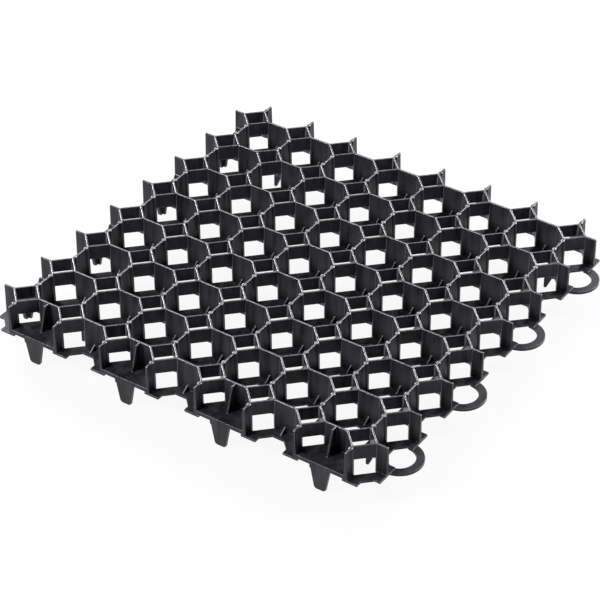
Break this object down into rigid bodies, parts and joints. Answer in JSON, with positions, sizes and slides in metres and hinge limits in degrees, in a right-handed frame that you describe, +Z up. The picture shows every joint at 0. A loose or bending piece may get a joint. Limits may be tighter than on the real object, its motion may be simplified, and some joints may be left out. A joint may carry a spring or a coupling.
{
  "type": "grass paver grid",
  "caption": "Square moulded plastic grass paver grid with octagonal turf cells, small open diagonal squares, ground stakes on two sides and link rings on the other two.",
  "frame": {"origin": "under the middle of the outline, rings included, at the level of the stake tips", "axes": "X and Y along the two sides that carry the rings at their far ends, +Z up to the rim"},
  "size_m": [0.5206, 0.5206, 0.064],
  "materials": {
    "plastic": "satin moulded polypropylene"
  },
  "bodies": {
    "root": {"paver_grid": "plastic"}
  },
  "joints": []
}
